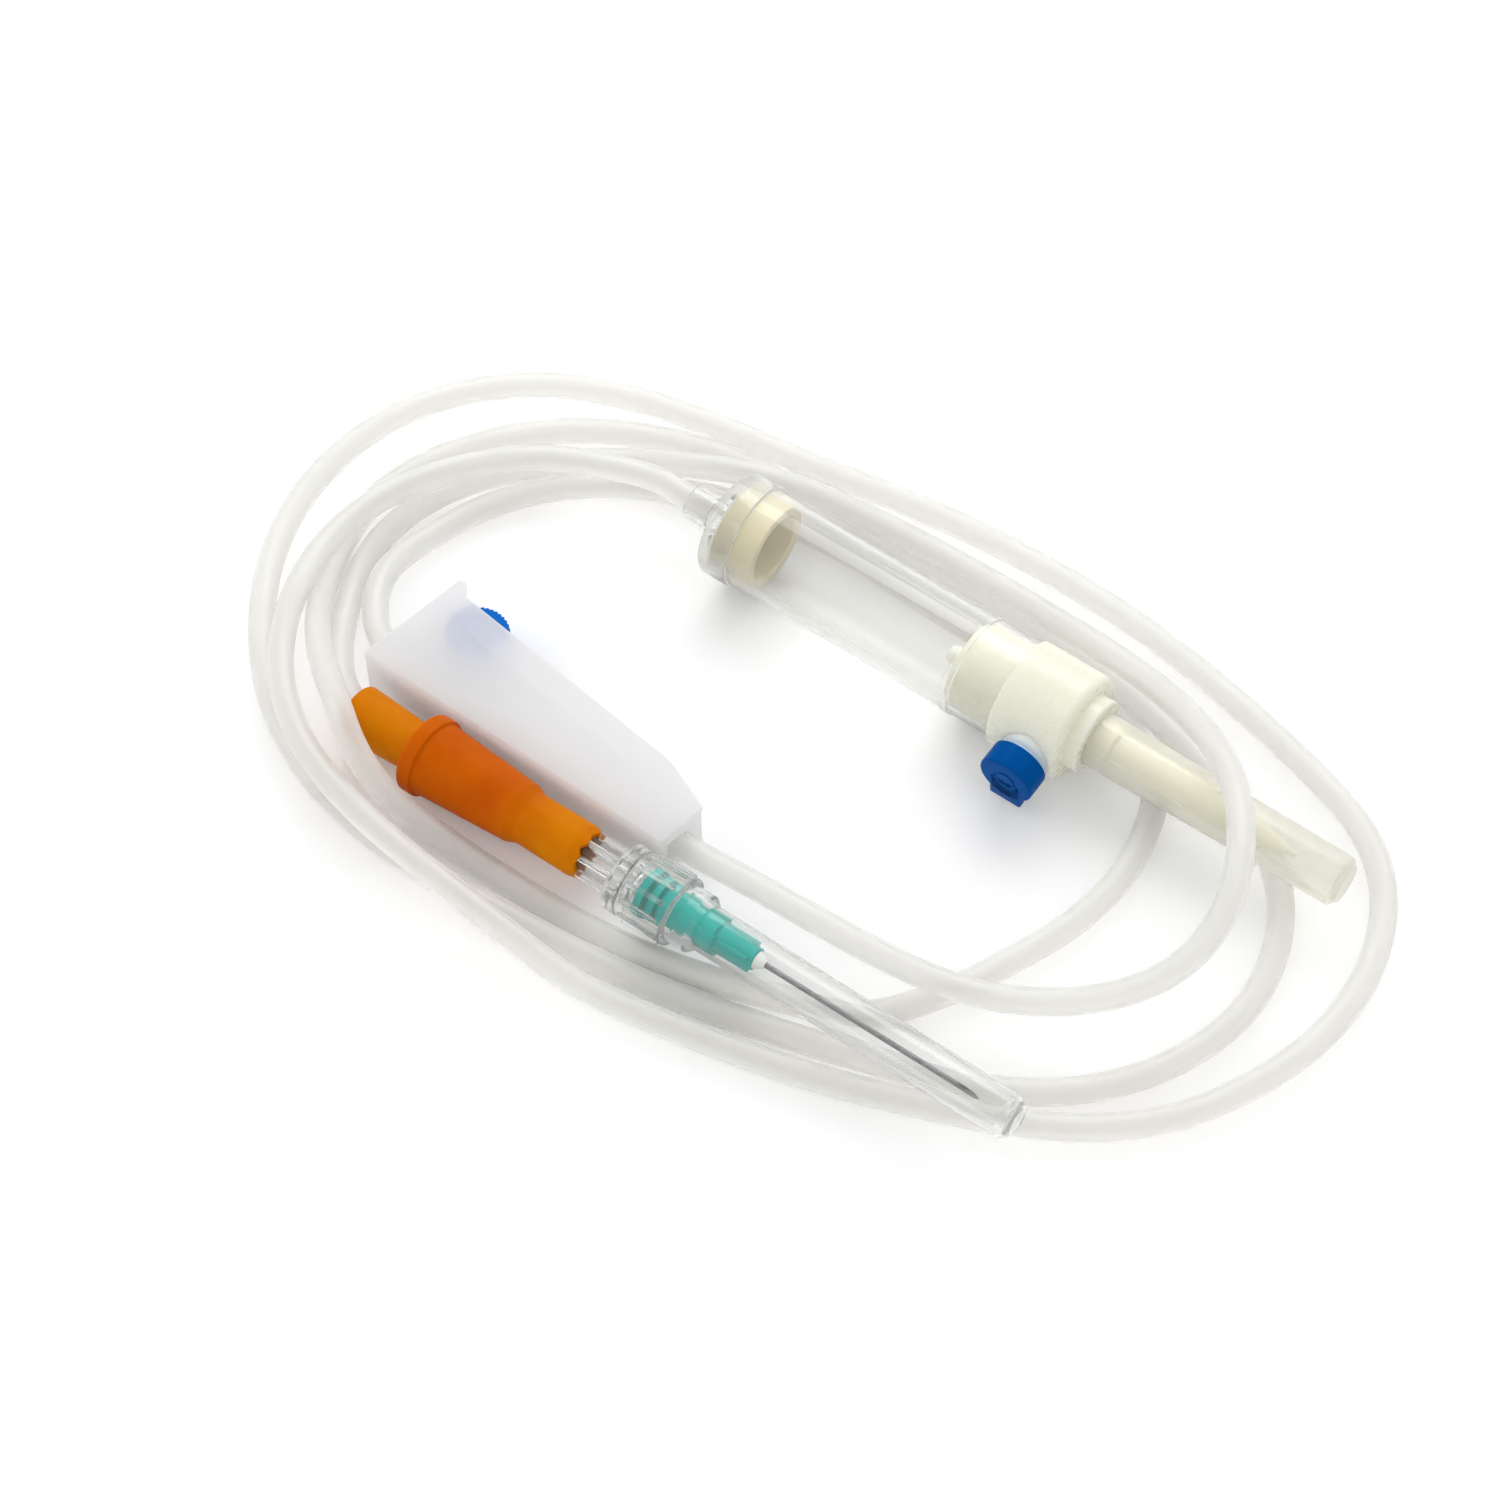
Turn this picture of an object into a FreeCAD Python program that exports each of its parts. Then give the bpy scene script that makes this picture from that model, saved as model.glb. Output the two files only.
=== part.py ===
import FreeCAD, Part
import math
import os

os.makedirs("parts", exist_ok=True)
V = FreeCAD.Vector

# Sizes in millimetres. The set lies on the floor at z = 0, +Z is up.

# Tube
TUBE_OD = 4.1
TUBE_BORE = 3.0
BEND_SHARE = 0.45
SOCKET_GAP = 0.12

# Gaps and edges shared by the pieces
FIT_GAP = 0.05
FINE_EDGE = 0.2
EDGE = 0.3
WIDE_EDGE = 0.5
OVERLAP = 0.1
CUT_PAST = 1.0

# Drip chamber, stations along its axis from the outlet cap's face
CHAMBER_BARREL_R = 8.0
CHAMBER_WALL = 0.8
CAP_WALL = 0.7
CHAMBER_LENGTH = 53.4
CAP_SKIRT = 5.2
CAP_FLOOR = 1.7
SOCKET_LENGTH = 7.0
SOCKET_R = 2.95
SOCKET_ROOT = 0.6
TUBE_SEAT = 2.9
CAP_EDGE = 0.4
RING_WALL = 1.7
RING_END = 9.0
MESH_LEDGE = 0.75
MESH_THICK = 0.36
PLUG_START = 46.0
PLUG_NOSE = 1.4
BEAD_START = 44.4
BEAD_END = 46.0
BEAD_HEIGHT = 0.15
DROP_R = 1.5
DROP_BORE_R = 0.9
DROP_START = 41.5
DROP_TIP = 0.8
DROP_SEAT = 50.0

# Spike body
BODY_END = 65.0
BODY_ROUND = 1.0
COLLAR_R = 6.0
COLLAR_END = 67.4
BOSS_R = 3.5
BOSS_END = 71.0
SPIKE_R = 2.75
SPIKE_TAPER_START = 92.0
SPIKE_END = 102.0
SPIKE_DRAFT = 0.1
SPIKE_POINT_R = 0.35
FLUID_START = 49.5
FLUID_R = 0.9
FLUID_OFFSET = 1.05
AIR_R = 0.65
AIR_OFFSET = -1.1

# Vent port, distances from the chamber axis
PORT_STATION = 60.4
PORT_DROOP = 5.0
PORT_STUB_R = 3.3
PORT_STUB_SINK = 2.0
PORT_CUP_START = 9.4
PORT_CUP_END = 12.6
PORT_CUP_R = 3.95
PORT_SEAT_R = 3.5
PORT_BORE_R = 1.2
PORT_BORE_START = 0.9
PORT_FLOOR = 1.0
VENT_CAP_START = 9.7
VENT_CAP_END = 13.7
VENT_CAP_R = 4.5
VENT_CAP_BORE_R = 4.05
VENT_CAP_FLOOR = 1.0
VENT_TAB_REACH = 5.6
VENT_TAB_WIDTH = 5.4
VENT_TAB_THICK = 1.3
VENT_RING_R = 2.0
VENT_RING_WIDTH = 0.5
VENT_RING_DEPTH = 0.15
VENT_FILTER_THICK = 0.8

# Spike cap
SPIKE_CAP_MOUTH_R = 4.35
SPIKE_CAP_TIP_R = 3.95
SPIKE_CAP_BORE_R = 3.6
SPIKE_CAP_END = 110.3
SPIKE_CAP_ROUND = 1.0
SPIKE_CAP_FLOOR = 1.2
SPIKE_CAP_LEAD = 1.0
SPIKE_CAP_DRAFT = 0.1

# Roller clamp, x along its open edge, y towards the open side
CLAMP_WIDTH = 9.6
CLAMP_WALL = 1.1
CLAMP_LENGTH = 54.9
CLAMP_DEEP = 17.5
CLAMP_SHALLOW = 10.85
ROLLER_R = 5.0
ROLLER_TEETH = 40
ROLLER_KNURL = 0.22
ROLLER_SIDE_GAP = 0.15
ROLLER_START = 8.2
ROLLER_SINK = 3.0
AXLE_R = 1.2
AXLE_GAP = 0.05
GROOVE_DEPTH = 0.6
GROOVE_END = 44.0
STUB_GAP = 0.1
CLAMP_RAKE = 0.8
EAR_HEIGHT = 1.75
EAR_LENGTH = 1.1
EAR_RAKE = 0.2
EAR_SLOPE = 1.5
CHAMFER_START = 46.1
CHAMFER_DROP = 2.4
END_WALL_TOP = 2.6
EXIT_R = 2.5
EXIT_LIFT = 0.45

# Latex bulb and needle line, stations from the bulb collar's middle
SLEEVE_START = -13.7
SLEEVE_R = 3.75
SLEEVE_MOUTH_R = 4.4
SLEEVE_MOUTH_BORE_R = 3.2
SLEEVE_MOUTH_DEPTH = 3.2
SLEEVE_SEAT = -6.7
BULB_COLLAR_R = 6.3
BULB_COLLAR_HALF = 1.25
BULB_BIG_R = 5.75
BULB_SMALL_R = 4.8
BULB_END = 17.6
NECK_START = 19.2
NECK_END = 30.5
NECK_R = 4.1
NECK_FLARE = 0.1
NECK_BORE_R = 2.3
LATEX_WALL = 1.1
BARB_R = 3.0
BARB_START = 24.0
BARB_TIP = 0.6
BARB_LEAD = 0.4
LUER_BORE_R = 1.1
FIN_COUNT = 8
FIN_R = 3.95
FIN_THICK = 0.6
FIN_START = 30.7
FIN_ROOT = 0.4
DISC_START = 36.6
DISC_END = 38.9
DISC_R = 5.4
LUER_ROOT_R = 2.35
LUER_CONE_START = 40.2
LUER_TIP = 47.0
LUER_BASE_R = 2.2
LUER_TIP_R = 1.996
LOCK_START = 39.0
LOCK_END = 47.2
LOCK_R = 5.5
LOCK_BORE_R = 4.15
LOCK_FLOOR = 1.1
LOCK_GAP = 0.07

# Needle hub, needle and cap
HUB_START = 41.3
HUB_FLANGE_R = 3.9
HUB_BAND_R = 3.6
HUB_WAIST_R = 3.1
HUB_BODY_R = 2.7
HUB_FLANGE_END = 42.6
HUB_BAND_STARTS = (43.4, 45.3)
HUB_BAND_WIDTH = 1.1
HUB_FIN_COUNT = 4
HUB_FIN_START = 47.8
HUB_FIN_END = 57.5
HUB_FIN_THICK = 0.9
HUB_FIN_ROOT = 0.3
HUB_FIN_TAPER = 2.0
HUB_FIN_TURN = 45
HUB_TAPER_START = 52.5
HUB_END = 60.8
HUB_END_R = 1.75
HUB_SOCKET_END = 48.4
HUB_FIN_R = 3.05
LUER_GAP = 0.03
NEEDLE_GAP = 0.02
NEEDLE_R = 0.4
NEEDLE_BORE_R = 0.25
NEEDLE_START = 49.5
NEEDLE_END = 99.0
NEEDLE_BEVEL = 12.0
BOND_END = 62.3
BOND_R = 1.45
BOND_TIP_R = 0.6
CAP_MOUTH_START = 47.3
CAP_MOUTH_END = 51.0
CAP_MOUTH_R = 4.6
CAP_BODY_R = 3.6
CAP_TIP_R = 3.4
CAP_BORE_R = 3.15
CAP_END = 105.5
CAP_SHOULDER = 0.8
CAP_ROUND = 1.2
CAP_FLOOR_THICK = 1.0
CAP_NOSE = 0.6
CAP_DRAFT = 0.2
CAP_LEAD = 1.0

# Where the three groups lie: axis point, heading from +X and climb in degrees
CHAMBER_AT = V(-16.40, 50.07, CHAMBER_BARREL_R + CAP_WALL)
CHAMBER_HEADING = -36.5
CLAMP_AT = V(-58.22, 37.04, 0.0)
CLAMP_HEADING = -43.8
LINE_AT = V(-60.80, 8.46, 6.35)
LINE_HEADING = -37.0
LINE_CLIMB = 2.3

# Corners of the tube's path; straight runs between them are joined by tangent arcs
PATH_SHIFT = V(0.97, 0, 0)
PATH = (
    (-19.78, 51.85, 8.70), (-24.20, 55.12, 8.70), (-28.9, 58.9, 8.6), (-35.7, 61.2, 8.2),
    (-44.2, 63.7, 7.6), (-53.3, 63.8, 7.0), (-62.9, 61.3, 6.6), (-71.7, 56.6, 6.6),
    (-78.7, 48.7, 7.2), (-83.2, 38.8, 7.9), (-85.3, 29.0, 7.0), (-84.1, 18.5, 6.7),
    (-79.9, 8.8, 6.7), (-73.1, -0.2, 6.8), (-64.8, -8.5, 6.9), (-56.4, -15.7, 6.5),
    (-47.8, -22.5, 5.0), (-39.5, -28.5, 2.8), (-30.0, -33.1, 2.1), (-19.1, -37.9, 2.1),
    (-7.8, -42.6, 2.1), (5.3, -46.6, 2.1), (18.6, -49.9, 2.1), (32.0, -51.7, 2.1),
    (43.7, -50.4, 2.1), (53.9, -46.3, 2.1), (63.4, -40.2, 2.1), (71.2, -32.1, 2.1),
    (76.5, -22.1, 2.1), (78.3, -11.6, 2.1), (76.3, -2.3, 2.1), (70.6, 6.6, 2.1),
    (62.5, 16.8, 2.1), (51.9, 28.8, 2.1), (40.0, 39.7, 2.1), (25.1, 50.5, 2.1),
    (10.4, 59.1, 2.1), (-5.5, 66.7, 2.1), (-20.7, 75.1, 2.1), (-34.8, 80.9, 2.1),
    (-47.0, 83.2, 2.1), (-58.8, 81.9, 2.1), (-69.4, 77.6, 2.1), (-78.3, 70.1, 2.1),
    (-84.8, 60.3, 2.1), (-88.4, 49.3, 2.1), (-89.3, 37.4, 2.1), (-87.8, 25.1, 2.1),
    (-83.4, 13.4, 2.1), (-76.4, 3.4, 2.1), (-67.7, -4.7, 2.1), (-58.3, -11.2, 2.1),
    (-48.2, -17.5, 2.1), (-38.5, -23.4, 2.1), (-28.6, -28.5, 2.1), (-18.3, -32.9, 2.1),
    (-7.8, -37.0, 2.1), (2.9, -40.7, 2.1), (14.1, -44.2, 2.1), (25.0, -46.1, 2.1),
    (36.0, -45.0, 2.1), (46.4, -41.0, 2.1), (55.4, -34.0, 2.1), (60.9, -25.1, 2.1),
    (63.2, -15.0, 2.1), (61.9, -5.4, 2.1), (57.3, 3.7, 2.1), (50.8, 13.0, 2.1),
    (42.7, 22.5, 2.1), (32.0, 32.3, 2.1), (18.7, 43.5, 2.1), (4.7, 52.8, 2.1),
    (-7.7, 61.9, 2.1), (-19.0, 68.9, 2.1), (-30.8, 72.5, 2.1), (-42.5, 73.7, 2.1),
    (-53.1, 72.1, 2.1), (-62.6, 68.5, 2.1), (-70.8, 62.7, 2.1), (-76.3, 54.8, 2.1),
    (-79.2, 45.4, 2.6), (-80.1, 35.1, 5.7), (-78.6, 24.2, 10.1), (-75.5, 14.9, 12.3),
    (-72.6, 7.4, 9.6), (-68.1, 1.6, 6.8), (-62.3, -2.3, 4.2), (-55.6, -6.7, 2.4),
    (-47.5, -12.5, 2.1), (-37.5, -19.1, 2.1), (-25.0, -25.7, 2.1), (-5.5, -32.1, 2.1),
    (2.8, -33.4, 2.1), (9.7, -31.4, 2.1), (16.8, -28.1, 2.1), (24.5, -23.6, 2.1),
    (32.6, -18.1, 2.1), (39.6, -10.9, 2.1), (44.1, -2.2, 2.1), (45.9, 4.0, 2.1),
    (45.3, 11.0, 2.1), (41.4, 17.7, 2.1), (33.2, 24.3, 2.1), (22.0, 32.6, 2.1),
    (11.0, 41.4, 2.1), (0.4, 50.6, 2.1), (-15.9, 59.0, 2.1), (-25.9, 61.4, 2.1),
    (-36.3, 62.7, 2.1), (-46.3, 61.7, 2.1), (-55.3, 58.5, 2.1), (-61.9, 54.0, 2.1),
    (-69.3, 46.7, 3.4), (-71.5, 40.9, 4.2), (-71.5, 35.2, 4.6), (-70.0, 30.0, 4.8),
    (-67.0, 25.5, 4.8), (-58.5, 19.0, 4.8), (-47.8, 11.3, 4.8), (-36.8, 2.6, 4.8),
    (-23.3, -7.1, 4.8), (-14.0, -13.8, 6.2), (-5.4, -19.9, 6.7), (3.1, -25.5, 6.9),
    (11.2, -30.1, 6.9), (19.3, -33.1, 6.9), (28.0, -34.6, 7.8), (36.2, -35.0, 10.0),
    (43.9, -33.6, 13.2), (49.7, -29.7, 16.4), (53.5, -23.3, 19.0), (55.3, -15.1, 19.4),
    (55.5, -5.2, 17.8), (53.5, 5.2, 14.2), (49.0, 15.2, 10.2), (41.8, 24.8, 7.2),
    (31.2, 33.6, 6.5), (18.7, 42.9, 6.5), (6.7, 51.0, 6.5), (-4.7, 57.8, 6.5),
    (-15.2, 62.3, 5.8), (-25.3, 64.9, 4.3), (-35.4, 67.5, 2.1), (-45.8, 66.9, 2.1),
    (-55.8, 64.3, 2.1), (-64.4, 59.9, 2.1), (-70.9, 53.6, 2.1), (-74.8, 45.8, 2.1),
    (-76.2, 37.6, 2.4), (-76.5, 30.6, 3.8), (-75.8, 23.1, 5.3), (-72.66, 16.66, 5.80),
    (-67.20, 12.55, 6.08),
)


def heading_vector(heading, climb=0.0):
    flat = math.cos(math.radians(climb))
    return V(
        flat * math.cos(math.radians(heading)),
        flat * math.sin(math.radians(heading)),
        math.sin(math.radians(climb)),
    )


def placement_at(origin, x_dir, up=V(0, 0, 1)):
    """Local X along x_dir, local Z as near to up as it can be."""
    z_dir = up - x_dir * up.dot(x_dir)
    z_dir.normalize()
    y_dir = z_dir.cross(x_dir)
    matrix = FreeCAD.Matrix(
        x_dir.x, y_dir.x, z_dir.x, origin.x,
        x_dir.y, y_dir.y, z_dir.y, origin.y,
        x_dir.z, y_dir.z, z_dir.z, origin.z,
        0, 0, 0, 1,
    )
    return FreeCAD.Placement(matrix)


def turned(profile):
    """Solid of revolution about local X from (station, radius) corners."""
    corners = [V(station, radius, 0) for station, radius in profile]
    face = Part.Face(Part.makePolygon(corners + [corners[0]]))
    return face.revolve(V(0, 0, 0), V(1, 0, 0), 360)


def rounded(end, radius, size):
    """Corners that round an outer edge at its far end."""
    cut = size * (1 - math.cos(math.radians(45)))
    return [(end - size, radius), (end - cut, radius - cut), (end, radius - size)]


def rod(start, end, radius, offset=0.0):
    return Part.makeCylinder(radius, end - start, V(start, offset, 0), V(1, 0, 0))


def plate(corners, low, high):
    """Flat plate from (x, y) corners between two heights."""
    points = [V(x, y, low) for x, y in corners]
    face = Part.Face(Part.makePolygon(points + [points[0]]))
    return face.extrude(V(0, 0, high - low))


def save(node, shape, placement=None):
    solid = shape.Solids[0]
    if placement is not None:
        solid.Placement = placement.multiply(solid.Placement)
    solid.exportStep("parts/" + node + ".step")
    print(node, "solids", len(shape.Solids), "valid", solid.isValid(), "volume", round(solid.Volume, 2))
    return solid


CHAMBER = placement_at(CHAMBER_AT, heading_vector(CHAMBER_HEADING))
CLAMP = placement_at(CLAMP_AT, heading_vector(CLAMP_HEADING))
LINE = placement_at(LINE_AT, heading_vector(LINE_HEADING, LINE_CLIMB))
TUBE_R = TUBE_OD / 2
SOCKET_BORE_R = TUBE_R + SOCKET_GAP
CHAMBER_BORE_R = CHAMBER_BARREL_R - CHAMBER_WALL
CHAMBER_CAP_R = CHAMBER_BARREL_R + CAP_WALL
RING_BORE_R = CHAMBER_BORE_R - RING_WALL
MESH_R = RING_BORE_R + MESH_LEDGE

# Outlet cap with the socket for the tube
cap_skirt_r = CHAMBER_BARREL_R + FIT_GAP
save("outlet_cap", turned([
    (-SOCKET_LENGTH, SOCKET_BORE_R),
    (-SOCKET_LENGTH, SOCKET_R - FINE_EDGE),
    (FINE_EDGE - SOCKET_LENGTH, SOCKET_R),
    (-SOCKET_ROOT, SOCKET_R),
    (0, SOCKET_R + SOCKET_ROOT),
    (0, CHAMBER_CAP_R - CAP_EDGE),
    (CAP_EDGE, CHAMBER_CAP_R),
    (CAP_SKIRT, CHAMBER_CAP_R),
    (CAP_SKIRT, cap_skirt_r),
    (CAP_FLOOR, cap_skirt_r),
    (CAP_FLOOR, TUBE_BORE / 2),
    (-TUBE_SEAT, TUBE_BORE / 2),
    (-TUBE_SEAT, SOCKET_BORE_R),
]), CHAMBER)

# Filter ring and its mesh
barrel_start = CAP_FLOOR + FIT_GAP
mesh_seat = barrel_start + MESH_THICK + 2 * FIT_GAP
save("filter_ring", turned([
    (barrel_start, MESH_R + FIT_GAP),
    (barrel_start, CHAMBER_BORE_R - FIT_GAP),
    (RING_END, CHAMBER_BORE_R - FIT_GAP),
    (RING_END, RING_BORE_R + WIDE_EDGE),
    (RING_END - WIDE_EDGE, RING_BORE_R),
    (mesh_seat, RING_BORE_R),
    (mesh_seat, MESH_R + FIT_GAP),
]), CHAMBER)
save("filter_mesh", rod(barrel_start + FIT_GAP, mesh_seat - FIT_GAP, MESH_R), CHAMBER)

# Barrel with the slight bead near the plug
save("chamber_barrel", turned([
    (barrel_start, CHAMBER_BORE_R),
    (barrel_start, CHAMBER_BARREL_R),
    (BEAD_START, CHAMBER_BARREL_R),
    (BEAD_START + FINE_EDGE, CHAMBER_BARREL_R + BEAD_HEIGHT),
    (BEAD_END - FINE_EDGE, CHAMBER_BARREL_R + BEAD_HEIGHT),
    (BEAD_END, CHAMBER_BARREL_R),
    (CHAMBER_LENGTH, CHAMBER_BARREL_R),
    (CHAMBER_LENGTH, CHAMBER_BORE_R),
]), CHAMBER)

# Spike body: plug, body, collar, boss and spike, with its vent port
plug_r = CHAMBER_BORE_R - FIT_GAP
body_start = CHAMBER_LENGTH + FIT_GAP
body = turned([
    (PLUG_START - PLUG_NOSE, 0),
    (PLUG_START - PLUG_NOSE, plug_r - PLUG_NOSE / 2),
    (PLUG_START, plug_r),
    (body_start, plug_r),
    (body_start, CHAMBER_CAP_R - EDGE),
    (body_start + EDGE, CHAMBER_CAP_R),
    *rounded(BODY_END, CHAMBER_CAP_R, BODY_ROUND),
    (BODY_END, COLLAR_R),
    (COLLAR_END - EDGE, COLLAR_R),
    (COLLAR_END, COLLAR_R - EDGE),
    (COLLAR_END, BOSS_R),
    (BOSS_END - EDGE, BOSS_R),
    (BOSS_END, SPIKE_R),
    (SPIKE_TAPER_START, SPIKE_R - SPIKE_DRAFT),
    (SPIKE_END, SPIKE_POINT_R),
    (SPIKE_END, 0),
])
port_dir = V(0, -math.cos(math.radians(PORT_DROOP)), -math.sin(math.radians(PORT_DROOP)))
PORT = placement_at(V(PORT_STATION, 0, 0), V(1, 0, 0), port_dir)


def port_rod(start, end, radius):
    """Rod along the vent port, by distance from the chamber's axis."""
    shape = Part.makeCylinder(radius, end - start, V(0, 0, start))
    shape.Placement = PORT
    return shape.copy()


body = body.fuse(port_rod(CHAMBER_CAP_R - PORT_STUB_SINK, PORT_CUP_START + OVERLAP, PORT_STUB_R))
body = body.fuse(port_rod(PORT_CUP_START, PORT_CUP_END, PORT_CUP_R))
body = body.cut(port_rod(PORT_CUP_START + PORT_FLOOR, PORT_CUP_END + CUT_PAST, PORT_SEAT_R))
body = body.cut(port_rod(PORT_BORE_START, PORT_CUP_END, PORT_BORE_R))
body = body.cut(rod(PLUG_START - 2 * PLUG_NOSE, DROP_SEAT, DROP_R + FIT_GAP))
body = body.cut(rod(FLUID_START, SPIKE_END + CUT_PAST, FLUID_R, FLUID_OFFSET))
body = body.cut(rod(PORT_STATION - PORT_BORE_R, SPIKE_END + CUT_PAST, AIR_R, AIR_OFFSET))
save("spike_body", body, CHAMBER)

# Drop tube in the plug's face
save("drip_former", turned([
    (DROP_START, DROP_BORE_R),
    (DROP_START, DROP_R - EDGE),
    (DROP_START + DROP_TIP, DROP_R),
    (DROP_SEAT - FIT_GAP, DROP_R),
    (DROP_SEAT - FIT_GAP, DROP_BORE_R),
]), CHAMBER)

# Filter disc on the floor of the vent port's cup
filter_start = PORT_CUP_START + PORT_FLOOR + FIT_GAP
save("vent_filter", port_rod(filter_start, filter_start + VENT_FILTER_THICK, PORT_SEAT_R - FIT_GAP), CHAMBER)

# Vent cap with its thumb tab and the shallow ring on its face
vent_cap = port_rod(VENT_CAP_START, VENT_CAP_END, VENT_CAP_R)
tab = Part.makeBox(
    VENT_TAB_WIDTH, VENT_TAB_REACH, VENT_TAB_THICK,
    V(-VENT_TAB_WIDTH / 2, -VENT_TAB_REACH, VENT_CAP_END - VENT_TAB_THICK),
)
tab.Placement = PORT
vent_cap = vent_cap.fuse(tab)
vent_cap = vent_cap.cut(port_rod(VENT_CAP_START - CUT_PAST, VENT_CAP_END - VENT_CAP_FLOOR, VENT_CAP_BORE_R))
face_ring = port_rod(VENT_CAP_END - VENT_RING_DEPTH, VENT_CAP_END + CUT_PAST, VENT_RING_R)
face_ring = face_ring.cut(port_rod(VENT_CAP_START, VENT_CAP_END + CUT_PAST, VENT_RING_R - VENT_RING_WIDTH))
save("vent_cap", vent_cap.cut(face_ring), CHAMBER)

# Spike cap
spike_cap_start = COLLAR_END + FIT_GAP
save("spike_cap", turned([
    (spike_cap_start, SPIKE_CAP_BORE_R),
    (spike_cap_start, SPIKE_CAP_MOUTH_R - FINE_EDGE),
    (spike_cap_start + FINE_EDGE, SPIKE_CAP_MOUTH_R),
    *rounded(SPIKE_CAP_END, SPIKE_CAP_TIP_R, SPIKE_CAP_ROUND),
    (SPIKE_CAP_END, 0),
    (SPIKE_CAP_END - SPIKE_CAP_FLOOR, 0),
    (SPIKE_CAP_END - SPIKE_CAP_FLOOR, SPIKE_CAP_TIP_R - SPIKE_CAP_ROUND),
    (BOSS_END + SPIKE_CAP_LEAD, SPIKE_CAP_BORE_R - SPIKE_CAP_DRAFT),
]), CHAMBER)

# Tube: a ring section swept along straight runs and tangent arcs
path = [V(*corner) + PATH_SHIFT for corner in PATH]
runs = [path[i + 1] - path[i] for i in range(len(path) - 1)]
edges = []
radii = []
run_start = path[0]
path_length = 0.0
for i in range(1, len(path) - 1):
    before = V(runs[i - 1])
    after = V(runs[i])
    turn = before.getAngle(after)
    reach = BEND_SHARE * min(before.Length, after.Length)
    before.normalize()
    after.normalize()
    bend_r = reach / math.tan(turn / 2)
    arc_start = path[i] - before * reach
    arc_end = path[i] + after * reach
    inward = after - before
    inward.normalize()
    arc_middle = path[i] + inward * (bend_r / math.cos(turn / 2) - bend_r)
    edges.append(Part.LineSegment(run_start, arc_start).toShape())
    edges.append(Part.Arc(arc_start, arc_middle, arc_end).toShape())
    path_length += run_start.distanceToPoint(arc_start) + bend_r * turn
    radii.append(bend_r)
    run_start = arc_end
edges.append(Part.LineSegment(run_start, path[-1]).toShape())
path_length += run_start.distanceToPoint(path[-1])
centre_line = Part.Wire(edges)


def swept(radius):
    """Round rod along the centre line."""
    circle = Part.Wire([Part.Circle(path[0], runs[0], radius).toShape()])
    return centre_line.makePipeShell([circle], True, False)


tube = swept(TUBE_R).cut(swept(TUBE_BORE / 2))
save("tube", tube)
section = math.pi * (TUBE_R ** 2 - (TUBE_BORE / 2) ** 2)
print("tube bends", len(radii), "least radius", round(min(radii), 1))
print("tube length", round(path_length, 1), "volume ratio", round(tube.Volume / (section * path_length), 5))

# Clamp channel: two side plates, a floor that climbs and an end wall the tube leaves through
floor_slope = (CLAMP_DEEP - CLAMP_SHALLOW) / CLAMP_LENGTH


def floor_y(x):
    return floor_slope * x - CLAMP_DEEP


side = [
    (-CLAMP_RAKE, floor_y(-CLAMP_RAKE)),
    (-EAR_RAKE, EAR_HEIGHT),
    (EAR_LENGTH, EAR_HEIGHT),
    (EAR_LENGTH + EAR_SLOPE, 0),
    (CHAMFER_START, 0),
    (CLAMP_LENGTH, -CHAMFER_DROP),
    (CLAMP_LENGTH, floor_y(CLAMP_LENGTH)),
]
floor = [
    (-CLAMP_RAKE, floor_y(-CLAMP_RAKE)),
    (CLAMP_LENGTH, floor_y(CLAMP_LENGTH)),
    (CLAMP_LENGTH, floor_y(CLAMP_LENGTH) + CLAMP_WALL),
    (-CLAMP_RAKE, floor_y(-CLAMP_RAKE) + CLAMP_WALL),
]
wall_start = CLAMP_LENGTH - CLAMP_WALL
end_wall = Part.makeBox(
    CLAMP_WALL, -floor_y(CLAMP_LENGTH) - END_WALL_TOP, CLAMP_WIDTH,
    V(wall_start, floor_y(CLAMP_LENGTH), 0),
)
exit_y = floor_y(wall_start) + CLAMP_WALL + TUBE_R + EXIT_LIFT
exit_hole = Part.makeCylinder(EXIT_R, 3 * CLAMP_WALL, V(wall_start - CLAMP_WALL, exit_y, CLAMP_WIDTH / 2), V(1, 0, 0))
exit_slot = Part.makeBox(
    3 * CLAMP_WALL, exit_y - floor_y(0), 2 * EXIT_R,
    V(wall_start - CLAMP_WALL, floor_y(0), CLAMP_WIDTH / 2 - EXIT_R),
)
end_wall = end_wall.cut(exit_hole.fuse(exit_slot))
clamp = plate(side, 0, CLAMP_WALL)
clamp = clamp.fuse(plate(side, CLAMP_WIDTH - CLAMP_WALL, CLAMP_WIDTH))
clamp = clamp.fuse(plate(floor, 0, CLAMP_WIDTH))
clamp = clamp.fuse(end_wall)
axle_y = -ROLLER_SINK
groove_r = AXLE_R + AXLE_GAP
for groove_low in (CLAMP_WALL - GROOVE_DEPTH, CLAMP_WIDTH - CLAMP_WALL):
    groove = Part.makeBox(
        GROOVE_END - ROLLER_START, 2 * groove_r, GROOVE_DEPTH,
        V(ROLLER_START, axle_y - groove_r, groove_low),
    )
    for end_x in (ROLLER_START, GROOVE_END):
        groove = groove.fuse(Part.makeCylinder(groove_r, GROOVE_DEPTH, V(end_x, axle_y, groove_low)))
    clamp = clamp.cut(groove)
save("clamp_body", clamp.removeSplitter(), CLAMP)

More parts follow.
